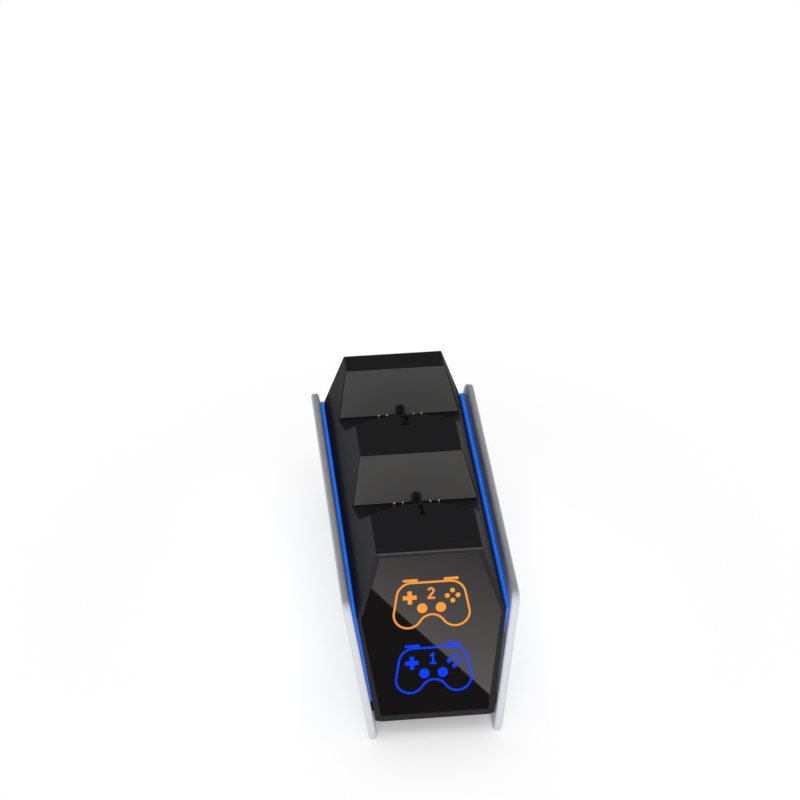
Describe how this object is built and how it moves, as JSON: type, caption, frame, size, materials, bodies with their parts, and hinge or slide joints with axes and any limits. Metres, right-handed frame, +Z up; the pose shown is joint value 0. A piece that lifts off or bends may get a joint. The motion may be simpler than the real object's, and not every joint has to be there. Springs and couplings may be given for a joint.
{
  "type": "controller charging dock",
  "caption": "Narrow upright charging dock: black ridge core with docking bays, spring contacts and guide pegs, a six-sided front window, blue light lines and white side plates",
  "frame": {"origin": "middle of the footprint, on the table", "axes": "+Z up, +Y from the front window to the rear wall, +X to the right seen from the front"},
  "size_m": [0.0516, 0.127, 0.055],
  "materials": {
    "core_black": "fine matte moulding",
    "window_gloss": "polished smoked acrylic",
    "plate_white": "smooth satin moulding",
    "light_blue": "lit translucent strip",
    "pad_grey": "smooth semi-matte",
    "contact_gold": "gold plated",
    "board_green": "lacquered board",
    "inner_black": "plain moulding",
    "lamp_white": "lamp lens",
    "screw_steel": "blackened",
    "spring_steel": "drawn wire",
    "inlet_steel": "bright formed sheet",
    "foot_rubber": "matte rubber"
  },
  "bodies": {
    "dock": {"housing": "core_black", "bottom_cover": "core_black", "front_bezel": "core_black", "display_window": "window_gloss", "indicator_mask": "inner_black", "charge_chips": "inner_black", "indicator_board": "board_green", "main_board": "board_green", "indicator_leds": "lamp_white", "cover_screws": "screw_steel", "board_screws": "screw_steel", "inlet_shell": "inlet_steel", "inlet_tongue": "inner_black", "foot_strips": "foot_rubber", "left_side_plate": "plate_white", "left_light_guide": "light_blue", "left_led_strip": "board_green", "right_side_plate": "plate_white", "right_light_guide": "light_blue", "right_led_strip": "board_green", "bay_1_rest_pad": "pad_grey", "bay_1_contact_block": "core_black", "bay_1_contact_board": "board_green", "bay_1_contact_barrels": "contact_gold", "bay_1_contact_springs": "spring_steel", "bay_2_rest_pad": "pad_grey", "bay_2_contact_block": "core_black", "bay_2_contact_board": "board_green", "bay_2_contact_barrels": "contact_gold", "bay_2_contact_springs": "spring_steel"},
    "bay_1_contact_1": {"bay_1_contact_1": "contact_gold"},
    "bay_1_contact_2": {"bay_1_contact_2": "contact_gold"},
    "bay_1_contact_3": {"bay_1_contact_3": "contact_gold"},
    "bay_1_contact_4": {"bay_1_contact_4": "contact_gold"},
    "bay_2_contact_1": {"bay_2_contact_1": "contact_gold"},
    "bay_2_contact_2": {"bay_2_contact_2": "contact_gold"},
    "bay_2_contact_3": {"bay_2_contact_3": "contact_gold"},
    "bay_2_contact_4": {"bay_2_contact_4": "contact_gold"}
  },
  "joints": [
    {"name": "bay_1_contact_1_press", "type": "slide", "parent": "dock", "child": "bay_1_contact_1", "axis": [0, 0.2588, 0.9659], "range_m": [-0.0012, 0], "stiffness_N_per_m": 300, "springref_m": 0.001, "deforming": ["bay_1_contact_springs"]},
    {"name": "bay_1_contact_2_press", "type": "slide", "parent": "dock", "child": "bay_1_contact_2", "axis": [0, 0.2588, 0.9659], "range_m": [-0.0012, 0], "stiffness_N_per_m": 300, "springref_m": 0.001, "deforming": ["bay_1_contact_springs"]},
    {"name": "bay_1_contact_3_press", "type": "slide", "parent": "dock", "child": "bay_1_contact_3", "axis": [0, 0.2588, 0.9659], "range_m": [-0.0012, 0], "stiffness_N_per_m": 300, "springref_m": 0.001, "deforming": ["bay_1_contact_springs"]},
    {"name": "bay_1_contact_4_press", "type": "slide", "parent": "dock", "child": "bay_1_contact_4", "axis": [0, 0.2588, 0.9659], "range_m": [-0.0012, 0], "stiffness_N_per_m": 300, "springref_m": 0.001, "deforming": ["bay_1_contact_springs"]},
    {"name": "bay_2_contact_1_press", "type": "slide", "parent": "dock", "child": "bay_2_contact_1", "axis": [0, 0.2588, 0.9659], "range_m": [-0.0012, 0], "stiffness_N_per_m": 300, "springref_m": 0.001, "deforming": ["bay_2_contact_springs"]},
    {"name": "bay_2_contact_2_press", "type": "slide", "parent": "dock", "child": "bay_2_contact_2", "axis": [0, 0.2588, 0.9659], "range_m": [-0.0012, 0], "stiffness_N_per_m": 300, "springref_m": 0.001, "deforming": ["bay_2_contact_springs"]},
    {"name": "bay_2_contact_3_press", "type": "slide", "parent": "dock", "child": "bay_2_contact_3", "axis": [0, 0.2588, 0.9659], "range_m": [-0.0012, 0], "stiffness_N_per_m": 300, "springref_m": 0.001, "deforming": ["bay_2_contact_springs"]},
    {"name": "bay_2_contact_4_press", "type": "slide", "parent": "dock", "child": "bay_2_contact_4", "axis": [0, 0.2588, 0.9659], "range_m": [-0.0012, 0], "stiffness_N_per_m": 300, "springref_m": 0.001, "deforming": ["bay_2_contact_springs"]}
  ]
}
